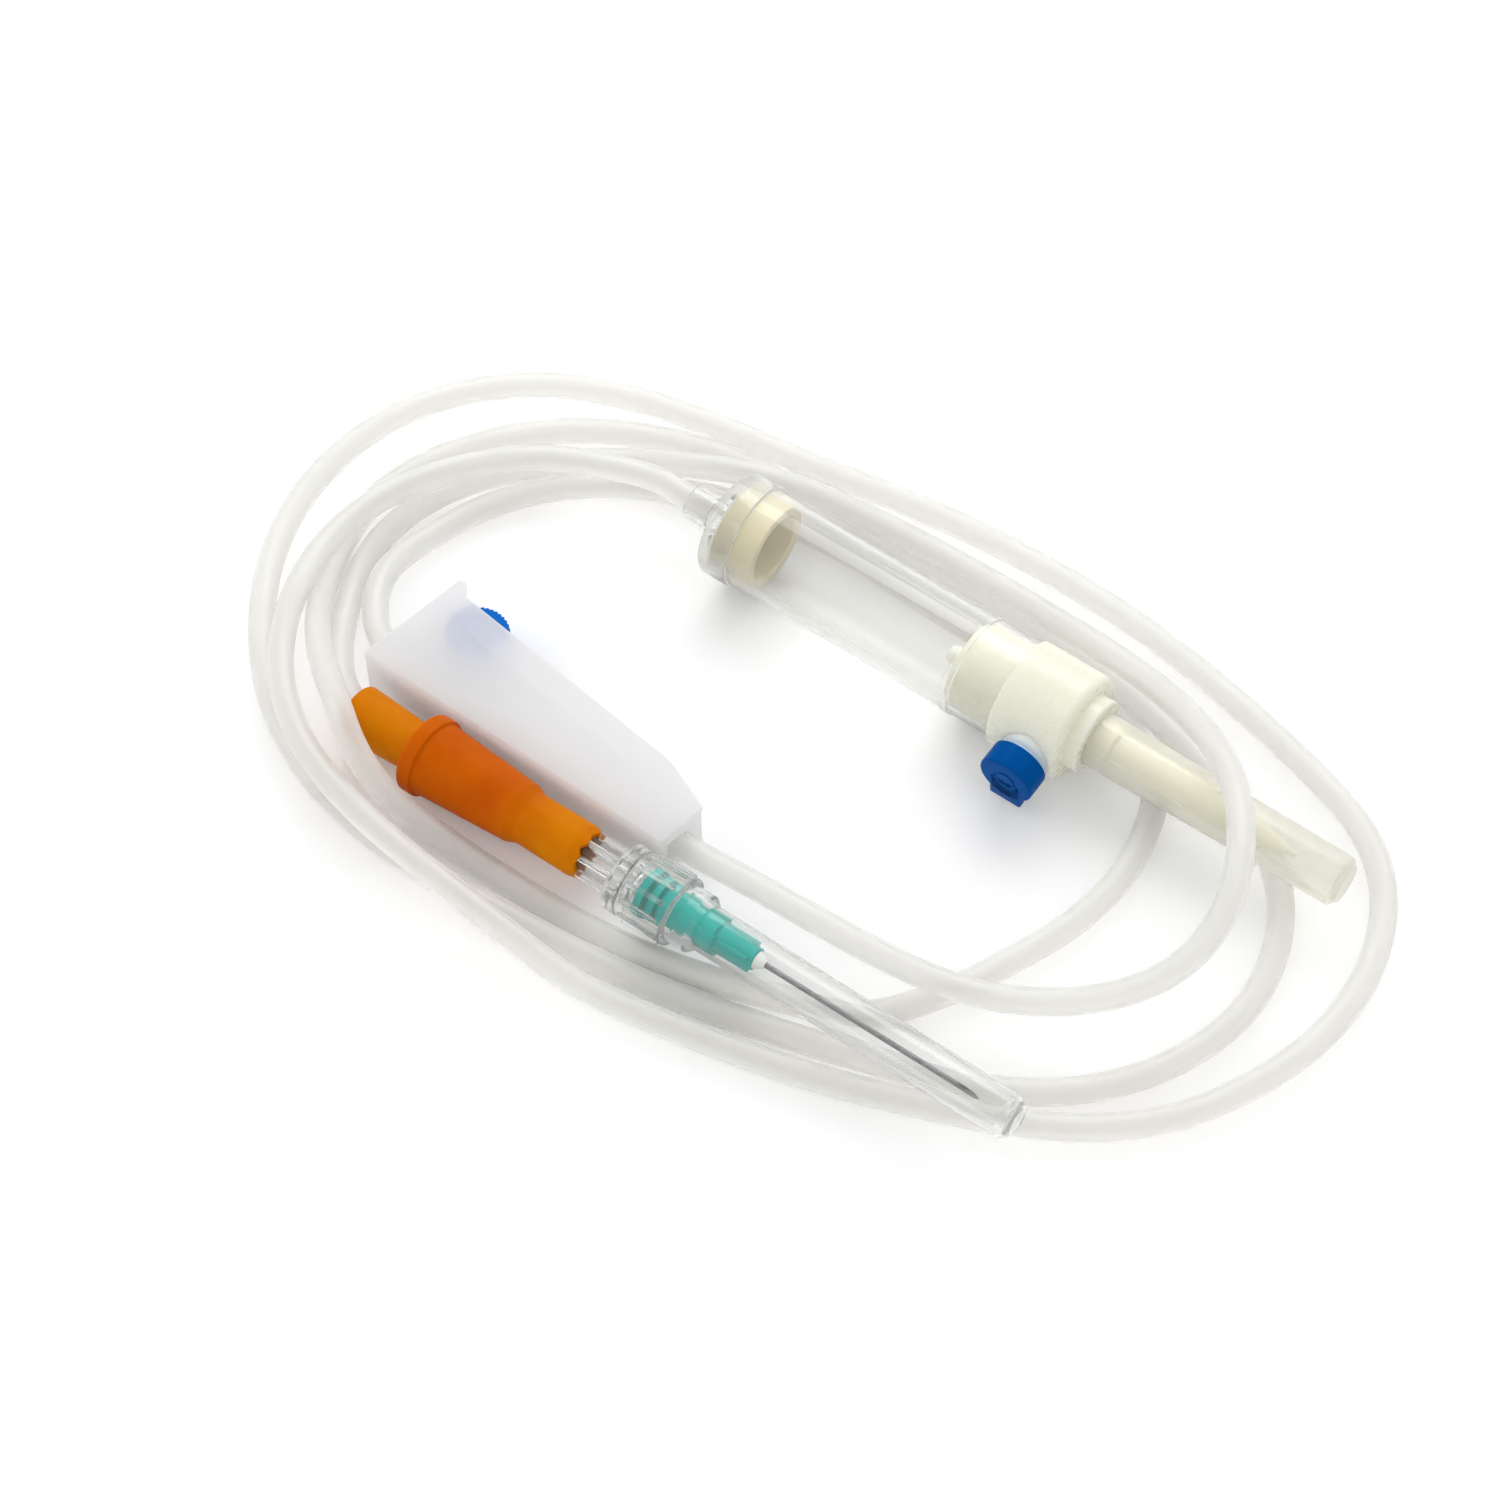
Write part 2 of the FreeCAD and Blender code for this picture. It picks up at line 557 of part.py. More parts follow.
# Roller: knurled wheel with an axle stub in each groove
knurl = []
for i in range(2 * ROLLER_TEETH):
    angle = math.pi * i / ROLLER_TEETH
    radius = ROLLER_R - ROLLER_KNURL * (i % 2)
    knurl.append((ROLLER_START + radius * math.cos(angle), axle_y + radius * math.sin(angle)))
roller = plate(knurl, CLAMP_WALL + ROLLER_SIDE_GAP, CLAMP_WIDTH - CLAMP_WALL - ROLLER_SIDE_GAP)
stub_low = CLAMP_WALL - GROOVE_DEPTH + STUB_GAP
roller = roller.fuse(Part.makeCylinder(AXLE_R, CLAMP_WIDTH - 2 * stub_low, V(ROLLER_START, axle_y, stub_low)))
save("clamp_roller", roller, CLAMP)

# Latex bulb: sleeve over the tube, collar, hollow bulb and neck over the connector's barb
save("latex_bulb", turned([
    (SLEEVE_START, SLEEVE_MOUTH_BORE_R),
    (SLEEVE_START, SLEEVE_MOUTH_R - EDGE),
    (SLEEVE_START + EDGE, SLEEVE_MOUTH_R),
    (-BULB_COLLAR_HALF, SLEEVE_R),
    (-BULB_COLLAR_HALF, BULB_COLLAR_R - WIDE_EDGE),
    (WIDE_EDGE - BULB_COLLAR_HALF, BULB_COLLAR_R),
    (BULB_COLLAR_HALF - WIDE_EDGE, BULB_COLLAR_R),
    (BULB_COLLAR_HALF, BULB_COLLAR_R - WIDE_EDGE),
    (BULB_COLLAR_HALF, BULB_BIG_R),
    (BULB_END, BULB_SMALL_R),
    (NECK_START, NECK_R),
    (NECK_END, NECK_R + NECK_FLARE),
    (NECK_END, BARB_R + FIT_GAP),
    (BARB_START - FIT_GAP, BARB_R + FIT_GAP),
    (BARB_START - FIT_GAP, NECK_BORE_R),
    (NECK_START, NECK_BORE_R),
    (BULB_END, BULB_SMALL_R - LATEX_WALL),
    (BULB_COLLAR_HALF, BULB_BIG_R - LATEX_WALL),
    (-BULB_COLLAR_HALF, TUBE_BORE / 2),
    (SLEEVE_SEAT, TUBE_BORE / 2),
    (SLEEVE_SEAT, SOCKET_BORE_R),
    (SLEEVE_START + SLEEVE_MOUTH_DEPTH, SOCKET_BORE_R),
]), LINE)

# Luer connector: barb, finned body, disc and the male cone
connector = turned([
    (BARB_START, LUER_BORE_R),
    (BARB_START, BARB_R - BARB_LEAD),
    (BARB_START + BARB_TIP, BARB_R),
    (DISC_START, BARB_R),
    (DISC_START, DISC_R - EDGE),
    (DISC_START + EDGE, DISC_R),
    (DISC_END - EDGE, DISC_R),
    (DISC_END, DISC_R - EDGE),
    (DISC_END, LUER_ROOT_R),
    (LUER_CONE_START, LUER_ROOT_R),
    (LUER_CONE_START, LUER_BASE_R),
    (LUER_TIP, LUER_TIP_R),
    (LUER_TIP, LUER_BORE_R),
])
for i in range(FIN_COUNT):
    fin = Part.makeBox(
        DISC_START + OVERLAP - FIN_START, FIN_THICK, FIN_R - BARB_R + FIN_ROOT,
        V(FIN_START, -FIN_THICK / 2, BARB_R - FIN_ROOT),
    )
    fin.rotate(V(0, 0, 0), V(1, 0, 0), 360 * i / FIN_COUNT)
    connector = connector.fuse(fin)
save("luer_connector", connector, LINE)

# Lock collar: turns on the root of the cone
save("luer_lock_collar", turned([
    (LOCK_START, LUER_ROOT_R + LOCK_GAP),
    (LOCK_START, LOCK_R - WIDE_EDGE),
    (LOCK_START + WIDE_EDGE, LOCK_R),
    (LOCK_END - FINE_EDGE, LOCK_R),
    (LOCK_END, LOCK_R - FINE_EDGE),
    (LOCK_END, LOCK_BORE_R),
    (LOCK_START + LOCK_FLOOR, LOCK_BORE_R),
    (LOCK_START + LOCK_FLOOR, LUER_ROOT_R + LOCK_GAP),
]), LINE)


def cone_r(station):
    """Radius of the male cone at a station."""
    share = (station - LUER_CONE_START) / (LUER_TIP - LUER_CONE_START)
    return LUER_BASE_R + (LUER_TIP_R - LUER_BASE_R) * share


# Needle hub: flange, two bands, body, taper and four fins around the female cone
hub = turned([
    (HUB_START, cone_r(HUB_START) + LUER_GAP),
    (HUB_START, HUB_FLANGE_R),
    (HUB_FLANGE_END, HUB_FLANGE_R),
    (HUB_FLANGE_END, HUB_WAIST_R),
    (HUB_BAND_STARTS[0], HUB_WAIST_R),
    (HUB_BAND_STARTS[0], HUB_BAND_R),
    (HUB_BAND_STARTS[0] + HUB_BAND_WIDTH, HUB_BAND_R),
    (HUB_BAND_STARTS[0] + HUB_BAND_WIDTH, HUB_WAIST_R),
    (HUB_BAND_STARTS[1], HUB_WAIST_R),
    (HUB_BAND_STARTS[1], HUB_BAND_R),
    (HUB_BAND_STARTS[1] + HUB_BAND_WIDTH, HUB_BAND_R),
    (HUB_BAND_STARTS[1] + HUB_BAND_WIDTH, HUB_BODY_R),
    (HUB_TAPER_START, HUB_BODY_R),
    (HUB_END, HUB_END_R),
    (HUB_END, NEEDLE_R + NEEDLE_GAP),
    (HUB_SOCKET_END, NEEDLE_R + NEEDLE_GAP),
    (HUB_SOCKET_END, cone_r(HUB_SOCKET_END) + LUER_GAP),
])
hub_fin = [
    (HUB_FIN_START, HUB_BODY_R - HUB_FIN_ROOT),
    (HUB_FIN_START, HUB_FIN_R),
    (HUB_FIN_END - HUB_FIN_TAPER, HUB_FIN_R),
    (HUB_FIN_END, HUB_END_R),
    (HUB_TAPER_START, HUB_END_R),
]
for i in range(HUB_FIN_COUNT):
    fin = plate(hub_fin, -HUB_FIN_THICK / 2, HUB_FIN_THICK / 2)
    fin.rotate(V(0, 0, 0), V(1, 0, 0), 360 * i / HUB_FIN_COUNT + HUB_FIN_TURN)
    hub = hub.fuse(fin)
save("needle_hub", hub, LINE)

# Glue cone at the needle's root
save("needle_bond", turned([
    (HUB_END + FIT_GAP, NEEDLE_R + NEEDLE_GAP),
    (HUB_END + FIT_GAP, BOND_R),
    (BOND_END, BOND_TIP_R),
    (BOND_END, NEEDLE_R + NEEDLE_GAP),
]), LINE)

# Needle with its bevelled tip
needle = turned([
    (NEEDLE_START, NEEDLE_BORE_R),
    (NEEDLE_START, NEEDLE_R),
    (NEEDLE_END, NEEDLE_R),
    (NEEDLE_END, NEEDLE_BORE_R),
])
bevel_length = 2 * NEEDLE_R / math.tan(math.radians(NEEDLE_BEVEL))
bevel = [
    (NEEDLE_END, -NEEDLE_R),
    (NEEDLE_END + CUT_PAST, -NEEDLE_R),
    (NEEDLE_END + CUT_PAST, 2 * NEEDLE_R),
    (NEEDLE_END - 1.5 * bevel_length, 2 * NEEDLE_R),
]
bevel_block = plate(bevel, -CUT_PAST, CUT_PAST)
bevel_block.rotate(V(0, 0, 0), V(1, 0, 0), 90)
save("needle", needle.cut(bevel_block), LINE)

# Needle cap
save("needle_cap", turned([
    (CAP_MOUTH_START, CAP_BORE_R + WIDE_EDGE),
    (CAP_MOUTH_START, CAP_MOUTH_R),
    (CAP_MOUTH_END, CAP_MOUTH_R),
    (CAP_MOUTH_END + CAP_SHOULDER, CAP_BODY_R),
    *rounded(CAP_END, CAP_TIP_R, CAP_ROUND),
    (CAP_END, 0),
    (CAP_END - CAP_FLOOR_THICK, 0),
    (CAP_END - CAP_FLOOR_THICK, CAP_BORE_R - CAP_NOSE),
    (CAP_END - 2 * CAP_FLOOR_THICK, CAP_BORE_R - CAP_DRAFT),
    (CAP_MOUTH_START + CAP_LEAD, CAP_BORE_R),
]), LINE)
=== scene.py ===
import math

import bmesh
import bpy
from mathutils import Matrix, Vector


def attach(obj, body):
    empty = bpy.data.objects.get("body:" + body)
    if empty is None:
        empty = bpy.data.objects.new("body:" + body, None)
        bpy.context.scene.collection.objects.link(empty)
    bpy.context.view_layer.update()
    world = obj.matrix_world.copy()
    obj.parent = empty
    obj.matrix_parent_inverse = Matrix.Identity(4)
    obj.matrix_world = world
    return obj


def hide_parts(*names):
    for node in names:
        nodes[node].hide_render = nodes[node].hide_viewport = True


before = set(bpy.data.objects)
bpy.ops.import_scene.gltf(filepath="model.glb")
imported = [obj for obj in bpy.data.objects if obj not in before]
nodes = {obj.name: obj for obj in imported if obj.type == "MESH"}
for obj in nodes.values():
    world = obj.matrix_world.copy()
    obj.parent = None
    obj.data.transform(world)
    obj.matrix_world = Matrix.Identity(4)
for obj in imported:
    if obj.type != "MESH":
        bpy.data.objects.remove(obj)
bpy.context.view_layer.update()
scene = bpy.context.scene
MM = 0.001

# Camera, at the photograph's viewing angle
LENS = 88
SENSOR_WIDTH = 36
CLIP_START = 0.01
CAMERA_AT = (-0.01333, -0.293856, 0.455971)
CAMERA_TILT = math.radians(34)
camera = bpy.data.objects.new("camera", bpy.data.cameras.new("camera"))
scene.collection.objects.link(camera)
camera.data.lens = LENS
camera.data.sensor_width = SENSOR_WIDTH
camera.data.clip_start = CLIP_START
camera.location = CAMERA_AT
camera.rotation_euler = (CAMERA_TILT, 0, 0)
scene.camera = camera

# The tube. Its length is in metres, the rest in millimetres, and the route has the same points as
# in the CAD source.
TUBE_OD = 4.1
TUBE_BORE = 3.0
TUBE_TURNS = 28
TUBE_SHARP = math.radians(60)
ROUTE_ORDER = 3
ROUTE_STEPS = 6
ROUTE_SHIFT = Vector((0.97, 0, 0))
ROUTE = (
    (-19.78, 51.85, 8.70), (-24.20, 55.12, 8.70), (-28.9, 58.9, 8.6), (-35.7, 61.2, 8.2),
    (-44.2, 63.7, 7.6), (-53.3, 63.8, 7.0), (-62.9, 61.3, 6.6), (-71.7, 56.6, 6.6),
    (-78.7, 48.7, 7.2), (-83.2, 38.8, 7.9), (-85.3, 29.0, 7.0), (-84.1, 18.5, 6.7),
    (-79.9, 8.8, 6.7), (-73.1, -0.2, 6.8), (-64.8, -8.5, 6.9), (-56.4, -15.7, 6.5),
    (-47.8, -22.5, 5.0), (-39.5, -28.5, 2.8), (-30.0, -33.1, 2.1), (-19.1, -37.9, 2.1),
    (-7.8, -42.6, 2.1), (5.3, -46.6, 2.1), (18.6, -49.9, 2.1), (32.0, -51.7, 2.1),
    (43.7, -50.4, 2.1), (53.9, -46.3, 2.1), (63.4, -40.2, 2.1), (71.2, -32.1, 2.1),
    (76.5, -22.1, 2.1), (78.3, -11.6, 2.1), (76.3, -2.3, 2.1), (70.6, 6.6, 2.1),
    (62.5, 16.8, 2.1), (51.9, 28.8, 2.1), (40.0, 39.7, 2.1), (25.1, 50.5, 2.1),
    (10.4, 59.1, 2.1), (-5.5, 66.7, 2.1), (-20.7, 75.1, 2.1), (-34.8, 80.9, 2.1),
    (-47.0, 83.2, 2.1), (-58.8, 81.9, 2.1), (-69.4, 77.6, 2.1), (-78.3, 70.1, 2.1),
    (-84.8, 60.3, 2.1), (-88.4, 49.3, 2.1), (-89.3, 37.4, 2.1), (-87.8, 25.1, 2.1),
    (-83.4, 13.4, 2.1), (-76.4, 3.4, 2.1), (-67.7, -4.7, 2.1), (-58.3, -11.2, 2.1),
    (-48.2, -17.5, 2.1), (-38.5, -23.4, 2.1), (-28.6, -28.5, 2.1), (-18.3, -32.9, 2.1),
    (-7.8, -37.0, 2.1), (2.9, -40.7, 2.1), (14.1, -44.2, 2.1), (25.0, -46.1, 2.1),
    (36.0, -45.0, 2.1), (46.4, -41.0, 2.1), (55.4, -34.0, 2.1), (60.9, -25.1, 2.1),
    (63.2, -15.0, 2.1), (61.9, -5.4, 2.1), (57.3, 3.7, 2.1), (50.8, 13.0, 2.1),
    (42.7, 22.5, 2.1), (32.0, 32.3, 2.1), (18.7, 43.5, 2.1), (4.7, 52.8, 2.1),
    (-7.7, 61.9, 2.1), (-19.0, 68.9, 2.1), (-30.8, 72.5, 2.1), (-42.5, 73.7, 2.1),
    (-53.1, 72.1, 2.1), (-62.6, 68.5, 2.1), (-70.8, 62.7, 2.1), (-76.3, 54.8, 2.1),
    (-79.2, 45.4, 2.6), (-80.1, 35.1, 5.7), (-78.6, 24.2, 10.1), (-75.5, 14.9, 12.3),
    (-72.6, 7.4, 9.6), (-68.1, 1.6, 6.8), (-62.3, -2.3, 4.2), (-55.6, -6.7, 2.4),
    (-47.5, -12.5, 2.1), (-37.5, -19.1, 2.1), (-25.0, -25.7, 2.1), (-5.5, -32.1, 2.1),
    (2.8, -33.4, 2.1), (9.7, -31.4, 2.1), (16.8, -28.1, 2.1), (24.5, -23.6, 2.1),
    (32.6, -18.1, 2.1), (39.6, -10.9, 2.1), (44.1, -2.2, 2.1), (45.9, 4.0, 2.1),
    (45.3, 11.0, 2.1), (41.4, 17.7, 2.1), (33.2, 24.3, 2.1), (22.0, 32.6, 2.1),
    (11.0, 41.4, 2.1), (0.4, 50.6, 2.1), (-15.9, 59.0, 2.1), (-25.9, 61.4, 2.1),
    (-36.3, 62.7, 2.1), (-46.3, 61.7, 2.1), (-55.3, 58.5, 2.1), (-61.9, 54.0, 2.1),
    (-69.3, 46.7, 3.4), (-71.5, 40.9, 4.2), (-71.5, 35.2, 4.6), (-70.0, 30.0, 4.8),
    (-67.0, 25.5, 4.8), (-58.5, 19.0, 4.8), (-47.8, 11.3, 4.8), (-36.8, 2.6, 4.8),
    (-23.3, -7.1, 4.8), (-14.0, -13.8, 6.2), (-5.4, -19.9, 6.7), (3.1, -25.5, 6.9),
    (11.2, -30.1, 6.9), (19.3, -33.1, 6.9), (28.0, -34.6, 7.8), (36.2, -35.0, 10.0),
    (43.9, -33.6, 13.2), (49.7, -29.7, 16.4), (53.5, -23.3, 19.0), (55.3, -15.1, 19.4),
    (55.5, -5.2, 17.8), (53.5, 5.2, 14.2), (49.0, 15.2, 10.2), (41.8, 24.8, 7.2),
    (31.2, 33.6, 6.5), (18.7, 42.9, 6.5), (6.7, 51.0, 6.5), (-4.7, 57.8, 6.5),
    (-15.2, 62.3, 5.8), (-25.3, 64.9, 4.3), (-35.4, 67.5, 2.1), (-45.8, 66.9, 2.1),
    (-55.8, 64.3, 2.1), (-64.4, 59.9, 2.1), (-70.9, 53.6, 2.1), (-74.8, 45.8, 2.1),
    (-76.2, 37.6, 2.4), (-76.5, 30.6, 3.8), (-75.8, 23.1, 5.3), (-72.66, 16.66, 5.80),
    (-67.20, 12.55, 6.08),
)
route_curve = bpy.data.curves.new("route", "CURVE")
route_curve.dimensions = "3D"
line = route_curve.splines.new("NURBS")
line.points.add(len(ROUTE) - 1)
for point, corner in zip(line.points, ROUTE):
    point.co = (*((Vector(corner) + ROUTE_SHIFT) * MM), 1)
line.order_u = ROUTE_ORDER
line.use_endpoint_u = True
route_curve.resolution_u = ROUTE_STEPS
route = bpy.data.objects.new("route", route_curve)
scene.collection.objects.link(route)
route_mesh = bpy.data.meshes.new_from_object(route)
tube_path = [v.co.copy() for v in route_mesh.vertices]
bpy.data.objects.remove(route)
bpy.data.meshes.remove(route_mesh)


def tube_mesh(name, path, radii):
    """Tube along the path, one wall for each radius, the outer one first, joined at both ends."""
    bm = bmesh.new()
    walls = [[] for _ in radii]
    side = Vector((0, 0, 1))
    for i, centre in enumerate(path):
        along = (path[min(i + 1, len(path) - 1)] - path[max(i - 1, 0)]).normalized()
        side = (side - along * side.dot(along)).normalized()
        across = along.cross(side)
        for wall, radius in zip(walls, radii):
            wall.append([
                bm.verts.new(centre + (side * math.cos(a) + across * math.sin(a)) * radius)
                for a in (2 * math.pi * k / TUBE_TURNS for k in range(TUBE_TURNS))
            ])
    for wall in walls:
        for first, second in zip(wall, wall[1:]):
            for k in range(TUBE_TURNS):
                m = (k + 1) % TUBE_TURNS
                bm.faces.new((first[k], first[m], second[m], second[k]))
    for end in (0, -1):
        outer, inner = walls[0][end], walls[1][end]
        for k in range(TUBE_TURNS):
            m = (k + 1) % TUBE_TURNS
            bm.faces.new((outer[k], outer[m], inner[m], inner[k]))
    bmesh.ops.recalc_face_normals(bm, faces=bm.faces)
    mesh = bpy.data.meshes.new(name)
    bm.to_mesh(mesh)
    bm.free()
    mesh.shade_smooth()
    mesh.set_sharp_from_angle(angle=TUBE_SHARP)
    return mesh


tube = bpy.data.objects.new(
    "infusion_tube", tube_mesh("infusion_tube", tube_path, (TUBE_OD / 2 * MM, TUBE_BORE / 2 * MM))
)
scene.collection.objects.link(tube)
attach(tube, "set")
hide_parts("tube")


# Frames of the chamber, its vent port and the needle line, as in the CAD source: local X is the
# axis of the turned pieces
def heading_vector(heading, climb=0.0):
    heading, climb = math.radians(heading), math.radians(climb)
    return Vector((
        math.cos(climb) * math.cos(heading),
        math.cos(climb) * math.sin(heading),
        math.sin(climb),
    ))


def placement_at(origin, x_dir, up=Vector((0, 0, 1))):
    z_dir = (up - x_dir * up.dot(x_dir)).normalized()
    turn = Matrix((x_dir, z_dir.cross(x_dir), z_dir)).transposed().to_4x4()
    return Matrix.Translation(Vector(origin) * MM) @ turn


CHAMBER_AT, CHAMBER_HEADING = (-16.40, 50.07, 8.7), -36.5
LINE_AT, LINE_HEADING, LINE_CLIMB = (-60.80, 8.46, 6.35), -37.0, 2.3
PORT_STATION = 60.4
PORT_DROOP = math.radians(5)
CHAMBER = placement_at(CHAMBER_AT, heading_vector(CHAMBER_HEADING))
LINE = placement_at(LINE_AT, heading_vector(LINE_HEADING, LINE_CLIMB))
PORT_UP = Vector((0, -math.cos(PORT_DROOP), -math.sin(PORT_DROOP)))
PORT = placement_at((PORT_STATION, 0, 0), Vector((1, 0, 0)), PORT_UP)
PORT_AXIS = CHAMBER @ PORT @ Matrix.Rotation(math.radians(-90), 4, "Y")

# Materials: places of the colour sockets in a Mix node, and the sizes of the patterns
MIX_FIRST, MIX_SECOND, MIX_RESULT = 6, 7, 2
SOLID_PATCH = 80
HAZY_PATCH = 60
LATEX_PATCH = 150
FLOOR_PATCH = 3
ROUGH_SCALE = 500
WAVE_SCALE = 160
LATEX_GRAIN = 700


class Look:
    """A material under construction: its node tree, its Principled shader and its output."""

    def __init__(self, name, **sockets):
        self.mat = bpy.data.materials.new(name)
        self.mat.use_nodes = True
        self.tree = self.mat.node_tree
        self.shader = self.tree.nodes["Principled BSDF"]
        self.out = self.tree.nodes["Material Output"]
        self.coords = self.add("ShaderNodeTexCoord").outputs["Object"]
        for socket, value in sockets.items():
            self.shader.inputs[socket.replace("_", " ")].default_value = value

    def add(self, kind, **settings):
        node = self.tree.nodes.new(kind)
        for name, value in settings.items():
            setattr(node, name, value)
        return node

    def link(self, source, target):
        self.tree.links.new(source, target)

    def noise(self, scale, detail=3.0):
        node = self.add("ShaderNodeTexNoise")
        node.inputs["Scale"].default_value = scale
        node.inputs["Detail"].default_value = detail
        self.link(self.coords, node.inputs["Vector"])
        return node.outputs["Fac"]

    def ranged(self, source, low, high, from_low=0.3, from_high=0.7):
        node = self.add("ShaderNodeMapRange")
        limits = {"From Min": from_low, "From Max": from_high, "To Min": low, "To Max": high}
        for socket, value in limits.items():
            node.inputs[socket].default_value = value
        self.link(source, node.inputs["Value"])
        return node.outputs["Result"]

    def mixed_colour(self, factor, first, second):
        node = self.add("ShaderNodeMix", data_type="RGBA")
        self.link(factor, node.inputs["Factor"])
        for place, value in ((MIX_FIRST, first), (MIX_SECOND, second)):
            if isinstance(value, bpy.types.NodeSocket):
                self.link(value, node.inputs[place])
            else:
                node.inputs[place].default_value = (*value, 1)
        self.link(node.outputs[MIX_RESULT], self.shader.inputs["Base Color"])
        return node.outputs[MIX_RESULT]

    def station(self, place, start, end):
        """0 at one station of a frame's own X axis and 1 at another."""
        x_dir = place.to_3x3().col[0]
        dot = self.add("ShaderNodeVectorMath", operation="DOT_PRODUCT")
        self.link(self.coords, dot.inputs[0])
        dot.inputs[1].default_value = x_dir
        zero = place.translation.dot(x_dir)
        return self.ranged(dot.outputs["Value"], 0, 1, zero + start * MM, zero + end * MM)

    def most(self, first, second):
        node = self.add("ShaderNodeMath", operation="MAXIMUM")
        self.link(first, node.inputs[0])
        self.link(second, node.inputs[1])
        return node.outputs[0]

    def times(self, source, share):
        node = self.add("ShaderNodeMath", operation="MULTIPLY")
        node.inputs[1].default_value = share
        self.link(source, node.inputs[0])
        return node.outputs[0]

    def mottled(self, first, second, scale):
        return self.mixed_colour(self.ranged(self.noise(scale), 0, 1), first, second)

    def rough(self, low, high):
        self.link(self.ranged(self.noise(ROUGH_SCALE), low, high), self.shader.inputs["Roughness"])

    def bump(self, height, distance, strength=0.3):
        node = self.add("ShaderNodeBump")
        node.inputs["Strength"].default_value = strength
        node.inputs["Distance"].default_value = distance
        self.link(height, node.inputs["Height"])
        self.link(node.outputs["Normal"], self.shader.inputs["Normal"])

    def mixed_shader(self, factor, first, second):
        node = self.add("ShaderNodeMixShader")
        if isinstance(factor, bpy.types.NodeSocket):
            self.link(factor, node.inputs[0])
        else:
            node.inputs[0].default_value = factor
        self.link(first, node.inputs[1])
        self.link(second, node.inputs[2])
        return node.outputs[0]

    def clear(self, colour):
        node = self.add("ShaderNodeBsdfTransparent")
        node.inputs["Color"].default_value = (*colour, 1)
        return node.outputs[0]

    def finish(self, shader):
        self.link(shader, self.out.inputs["Surface"])
        return self.mat

    def lets_lamps_through(self, share, tint, surface):
        """Lamps reach what is behind the piece: that share of the light passes each face."""
        path = self.add("ShaderNodeLightPath")
        factor = self.times(path.outputs["Is Shadow Ray"], share)
        return self.finish(self.mixed_shader(factor, surface, self.clear(tint)))


def hazy_plastic(name, first, second, cloud, haze, edge, rough, share, ior, wave=0.0):
    """See-through plastic with a share of haze that scatters light both ways.

    The share is haze where a face looks at the eye, and edge where it turns away.
    """
    look = Look(name, IOR=ior, Transmission_Weight=1.0, Roughness=rough)
    look.mottled(first, second, HAZY_PATCH)
    if wave:
        look.bump(look.noise(WAVE_SCALE, detail=1.0), wave, strength=0.25)
    halves = []
    for kind in ("ShaderNodeBsdfDiffuse", "ShaderNodeBsdfTranslucent"):
        half = look.add(kind)
        half.inputs["Color"].default_value = (*cloud, 1)
        halves.append(half.outputs[0])
    facing = look.add("ShaderNodeLayerWeight")
    facing.inputs["Blend"].default_value = 0.5
    amount = look.ranged(facing.outputs["Facing"], haze, edge, from_low=0.0, from_high=0.8)
    surface = look.mixed_shader(amount, look.shader.outputs[0], look.mixed_shader(0.5, *halves))
    return look.lets_lamps_through(share, first, surface)


def solid_plastic(
    name, first, second, gloss, patch=SOLID_PATCH, grain=900, depth=0.00002, **sockets
):
    look = Look(name, **sockets)
    look.mottled(first, second, patch)
    look.rough(*gloss)
    look.bump(look.noise(grain), depth)
    return look.finish(look.shader.outputs[0])


TUBE_PVC = hazy_plastic(
    "tube_pvc", (0.98, 0.975, 0.965), (0.985, 0.98, 0.97), cloud=(0.98, 0.975, 0.955),
    haze=0.32, edge=0.6, rough=0.15, share=0.9, ior=1.4,
)
CLEAR = hazy_plastic(
    "clear_pvc", (0.98, 0.98, 0.97), (0.985, 0.985, 0.975), cloud=(0.92, 0.92, 0.89),
    haze=0.03, edge=0.4, rough=0.03, share=0.98, ior=1.4, wave=0.00003,
)
CLEAR_HARD = hazy_plastic(
    "clear_styrene", (0.975, 0.98, 0.975), (0.98, 0.985, 0.98), cloud=(0.93, 0.93, 0.91),
    haze=0.0, edge=0.2, rough=0.02, share=0.95, ior=1.46, wave=0.00003,
)
SPIKE_MILKY = hazy_plastic(
    "cap_milky", (0.975, 0.97, 0.935), (0.98, 0.975, 0.945), cloud=(0.95, 0.94, 0.87),
    haze=0.22, edge=0.45, rough=0.14, share=0.9, ior=1.38,
)
NEEDLE_MILKY = hazy_plastic(
    "cap_hazy", (0.97, 0.97, 0.965), (0.98, 0.98, 0.975), cloud=(0.94, 0.94, 0.93),
    haze=0.02, edge=0.22, rough=0.04, share=0.94, ior=1.38,
)
CLAMP_WHITE = hazy_plastic(
    "clamp_white", (0.96, 0.96, 0.965), (0.97, 0.97, 0.975), cloud=(0.94, 0.935, 0.935),
    haze=0.72, edge=0.82, rough=0.5, share=0.6, ior=1.45,
)
IVORY_PAIR = (0.89, 0.885, 0.74), (0.92, 0.915, 0.79)
IVORY_GLOSS = (0.22, 0.34)
IVORY_DEPTH = {
    "Subsurface_Weight": 0.5, "Subsurface_Scale": 0.002, "Subsurface_Radius": (1.0, 0.95, 0.7),
}
IVORY = solid_plastic("ivory_abs", *IVORY_PAIR, gloss=IVORY_GLOSS, **IVORY_DEPTH)
CREAM = solid_plastic(
    "filter_cream", (0.78, 0.72, 0.48), (0.83, 0.77, 0.56), gloss=(0.35, 0.5),
    Subsurface_Weight=0.3, Subsurface_Scale=0.0015,
)
MESH = solid_plastic(
    "filter_gauze", (0.86, 0.84, 0.75), (0.93, 0.92, 0.86), gloss=(0.6, 0.8), grain=4000,
    depth=0.0001,
)
